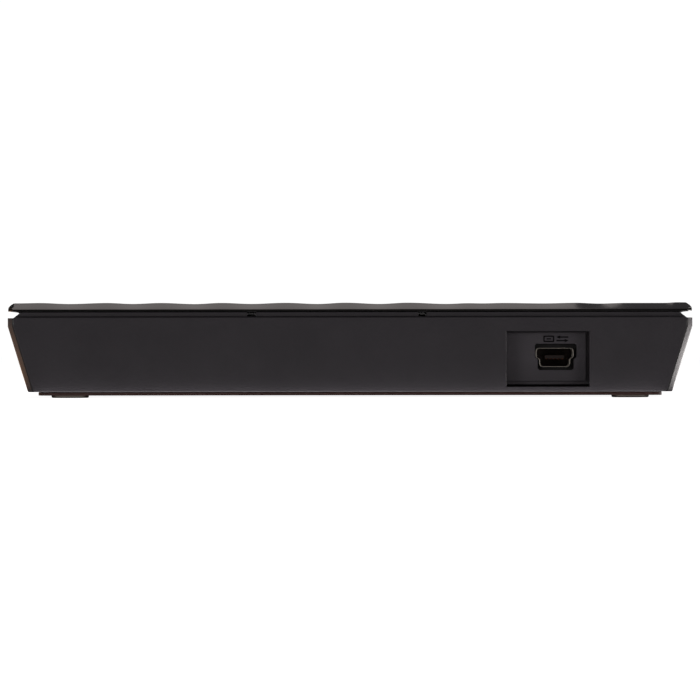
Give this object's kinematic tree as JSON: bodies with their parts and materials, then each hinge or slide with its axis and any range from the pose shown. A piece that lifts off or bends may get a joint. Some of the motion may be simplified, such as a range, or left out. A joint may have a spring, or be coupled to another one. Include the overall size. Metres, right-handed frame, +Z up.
{
  "type": "external slim optical disc drive",
  "caption": "Slim external disc drive: tapered base under an overhanging rippled cover, small data socket in the rear wall, sliding disc tray with turntable and pickup.",
  "frame": {"origin": "on the plane the feet stand on, below the middle of the case", "axes": "+Z up; +Y towards the rear wall with the data socket; the tray opens towards -Y; +X to the right seen from the front"},
  "size_m": [0.138, 0.144, 0.0192],
  "materials": {
    "case_plastic": "satin moulded",
    "cover_plastic": "polished",
    "plate_plastic": "fine texture",
    "foot_rubber": "matt",
    "tray_plastic": "fine texture",
    "sheet_steel": "zinc plated sheet",
    "bright_steel": "bright",
    "screw_steel": "black zinc",
    "board_laminate": "green solder mask",
    "chip_epoxy": "moulded epoxy",
    "connector_plastic": "moulded",
    "acetal": "natural acetal",
    "soft_rubber": "soft",
    "die_cast": "cast",
    "lens_glass": "clear",
    "polyimide": "film"
  },
  "bodies": {
    "case": {"lower_case": "case_plastic", "top_cover": "cover_plastic", "bottom_plate": "plate_plastic", "foot_front_left": "foot_rubber", "foot_front_right": "foot_rubber", "foot_rear_left": "foot_rubber", "foot_rear_right": "foot_rubber", "case_screw_left": "screw_steel", "case_screw_right": "screw_steel", "mechanism_pan": "sheet_steel", "mechanism_lid": "sheet_steel", "pan_screw_inner": "screw_steel", "pan_screw_outer": "screw_steel", "drive_board": "board_laminate", "controller_chip": "chip_epoxy", "motor_driver_chip": "chip_epoxy", "tray_flex_socket": "connector_plastic", "link_connector": "connector_plastic", "port_plate": "case_plastic", "bridge_board": "board_laminate", "bridge_chip": "chip_epoxy", "board_screw_inner": "screw_steel", "board_screw_outer": "screw_steel", "usb_socket_shell": "bright_steel", "usb_socket_insulator": "connector_plastic", "rail_guide_left": "acetal", "rail_guide_right": "acetal", "board_flex": "polyimide"},
    "tray": {"tray": "tray_plastic", "tray_bezel": "case_plastic", "activity_lens": "lens_glass", "eject_switch": "connector_plastic", "tray_under_plate": "sheet_steel", "plate_screw_front_left": "screw_steel", "plate_screw_rear_left": "screw_steel", "plate_screw_rear_right": "screw_steel", "traverse_frame": "die_cast", "traverse_cover": "sheet_steel", "damper_front": "soft_rubber", "damper_rear_left": "soft_rubber", "damper_rear_right": "soft_rubber", "guide_rod_left": "bright_steel", "guide_rod_right": "bright_steel", "sled_motor": "die_cast", "spindle_base": "sheet_steel", "eject_solenoid": "sheet_steel", "tray_flex": "polyimide"},
    "rail_left": {"rail_left": "bright_steel"},
    "rail_right": {"rail_right": "bright_steel"},
    "eject_button": {"eject_button": "case_plastic"},
    "spindle": {"spindle_rotor": "die_cast", "disc_pad": "soft_rubber"},
    "claw_1": {"hub_claw_1": "acetal"},
    "claw_2": {"hub_claw_2": "acetal"},
    "claw_3": {"hub_claw_3": "acetal"},
    "sled": {"pickup_sled": "die_cast"},
    "lens": {"lens_holder": "connector_plastic", "objective_lens": "lens_glass"},
    "lead_screw": {"lead_screw": "bright_steel"},
    "latch": {"latch_lever": "sheet_steel"}
  },
  "joints": [
    {"name": "tray_slide", "type": "slide", "parent": "case", "child": "tray", "axis": [0, -1, 0], "range_m": [0, 0.124]},
    {"name": "rail_left_slide", "type": "slide", "parent": "case", "child": "rail_left", "axis": [0, -1, 0], "range_m": [0, 0.062]},
    {"name": "rail_right_slide", "type": "slide", "parent": "case", "child": "rail_right", "axis": [0, -1, 0], "range_m": [0, 0.062]},
    {"name": "eject_button_press", "type": "slide", "parent": "tray", "child": "eject_button", "axis": [0, 1, 0], "range_m": [0, 0.0006], "stiffness_N_per_m": 600},
    {"name": "spindle_spin", "type": "hinge", "parent": "tray", "child": "spindle", "pos_m": [0, -0.009, 0.008], "axis": [0, 0, 1], "continuous": true},
    {"name": "sled_slide", "type": "slide", "parent": "tray", "child": "sled", "axis": [0.7071, -0.7071, 0], "range_m": [0, 0.035]},
    {"name": "lead_screw_spin", "type": "hinge", "parent": "tray", "child": "lead_screw", "pos_m": [0.0326, -0.02533, 0.0071], "axis": [0.7071, -0.7071, 0], "range_deg": [0, 4210]},
    {"name": "lens_focus", "type": "slide", "parent": "sled", "child": "lens", "axis": [0, 0, 1], "range_m": [-0.0004, 0.0004], "stiffness_N_per_m": 100},
    {"name": "latch_swing", "type": "hinge", "parent": "tray", "child": "latch", "pos_m": [-0.044, 0.02, 0.0066], "axis": [0, 0, 1], "range_deg": [0, 10]},
    {"name": "claw_1_press", "type": "slide", "parent": "spindle", "child": "claw_1", "axis": [-0.9659, -0.2588, 0], "range_m": [0, 0.0008], "stiffness_N_per_m": 400},
    {"name": "claw_2_press", "type": "slide", "parent": "spindle", "child": "claw_2", "axis": [0.7071, -0.7071, 0], "range_m": [0, 0.0008], "stiffness_N_per_m": 400},
    {"name": "claw_3_press", "type": "slide", "parent": "spindle", "child": "claw_3", "axis": [0.2588, 0.9659, 0], "range_m": [0, 0.0008], "stiffness_N_per_m": 400}
  ],
  "couplings": [
    {"joint": "rail_left_slide", "follows": "tray_slide", "ratio": 0.5},
    {"joint": "rail_right_slide", "follows": "tray_slide", "ratio": 0.5},
    {"joint": "lead_screw_spin", "follows": "sled_slide", "rad_per_m": 2094.4}
  ]
}
